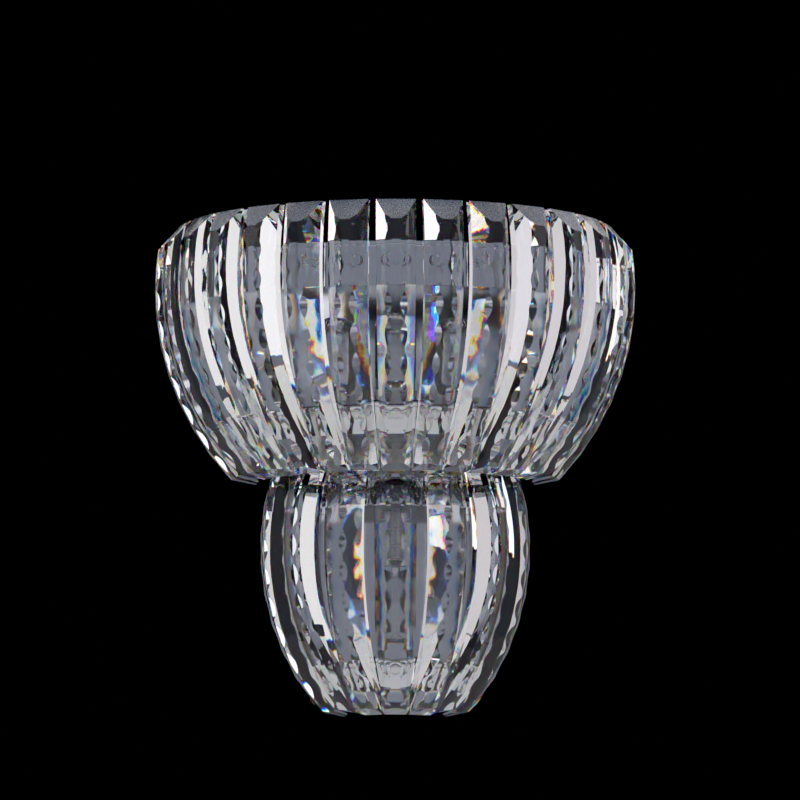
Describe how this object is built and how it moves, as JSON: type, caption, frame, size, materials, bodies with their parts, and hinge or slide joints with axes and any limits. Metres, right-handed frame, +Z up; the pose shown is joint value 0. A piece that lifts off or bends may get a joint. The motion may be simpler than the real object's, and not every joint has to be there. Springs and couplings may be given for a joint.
{
  "type": "crystal wall sconce",
  "caption": "Wall light of two half-round tiers of bent, bevelled crystal bars bonded to polished rings on a shallow back pan, with upright lamps inside.",
  "frame": {"origin": "middle of the wall bracket's two slotted holes, on the wall plane", "axes": "+Z up, +X to the right seen from the front, +Y into the wall; the front faces -Y"},
  "size_m": [0.2982, 0.1594, 0.3019],
  "materials": {
    "crystal": "polished",
    "bond_clear": "clear cured glue",
    "ring_steel": "mirror polished",
    "pan_steel": "mirror polished",
    "fastener_steel": "satin",
    "bracket_steel": "zinc plated",
    "nut_chrome": "knurled, polished",
    "plate_steel": "satin",
    "holder_metal": "satin",
    "lamp_cap": "rolled thread",
    "lamp_glass": "clear",
    "brass": "plain",
    "rubber": "matt",
    "lead_sleeve": "matt",
    "terminal_plastic": "matt"
  },
  "bodies": {
    "fixture": {"crystal_upper_01": "crystal", "crystal_upper_02": "crystal", "crystal_upper_03": "crystal", "crystal_upper_04": "crystal", "crystal_upper_05": "crystal", "crystal_upper_06": "crystal", "crystal_upper_07": "crystal", "crystal_upper_08": "crystal", "crystal_upper_09": "crystal", "crystal_upper_10": "crystal", "crystal_upper_11": "crystal", "crystal_upper_12": "crystal", "crystal_upper_13": "crystal", "crystal_upper_14": "crystal", "crystal_upper_15": "crystal", "crystal_lower_01": "crystal", "crystal_lower_02": "crystal", "crystal_lower_03": "crystal", "crystal_lower_04": "crystal", "crystal_lower_05": "crystal", "crystal_lower_06": "crystal", "crystal_lower_07": "crystal", "upper_ring": "ring_steel", "middle_ring": "ring_steel", "lower_ring": "ring_steel", "bottom_ring": "ring_steel", "bond_pads": "bond_clear", "back_pan": "pan_steel", "ring_screws": "fastener_steel", "plate_screws": "fastener_steel", "wall_bracket": "bracket_steel", "earth_screw": "brass", "cable_grommet": "rubber", "bracket_studs": "bracket_steel", "lamp_plate": "plate_steel", "lamp_holder_left": "holder_metal", "lamp_holder_middle": "holder_metal", "lamp_holder_right": "holder_metal", "lamp_holder_lower": "holder_metal", "nipples": "brass", "nipple_nuts": "brass", "lamp_leads": "lead_sleeve", "terminal_block": "terminal_plastic"},
    "lamp_left": {"lamp_left_cap": "lamp_cap", "lamp_left_bulb": "lamp_glass"},
    "lamp_middle": {"lamp_middle_cap": "lamp_cap", "lamp_middle_bulb": "lamp_glass"},
    "lamp_right": {"lamp_right_cap": "lamp_cap", "lamp_right_bulb": "lamp_glass"},
    "lamp_lower": {"lamp_lower_cap": "lamp_cap", "lamp_lower_bulb": "lamp_glass"},
    "nut_left": {"cap_nut_left": "nut_chrome"},
    "nut_right": {"cap_nut_right": "nut_chrome"}
  },
  "joints": [
    {"name": "lamp_left_unscrew", "type": "slide", "parent": "fixture", "child": "lamp_left", "axis": [0, 0, 1], "range_m": [0, 0.026]},
    {"name": "lamp_middle_unscrew", "type": "slide", "parent": "fixture", "child": "lamp_middle", "axis": [0, 0, 1], "range_m": [0, 0.026]},
    {"name": "lamp_right_unscrew", "type": "slide", "parent": "fixture", "child": "lamp_right", "axis": [0, 0, 1], "range_m": [0, 0.026]},
    {"name": "lamp_lower_unscrew", "type": "slide", "parent": "fixture", "child": "lamp_lower", "axis": [0, 0, -1], "range_m": [0, 0.026]},
    {"name": "cap_nut_left_unscrew", "type": "slide", "parent": "fixture", "child": "nut_left", "axis": [0, -1, 0], "range_m": [0, 0.007]},
    {"name": "cap_nut_right_unscrew", "type": "slide", "parent": "fixture", "child": "nut_right", "axis": [0, -1, 0], "range_m": [0, 0.007]}
  ]
}
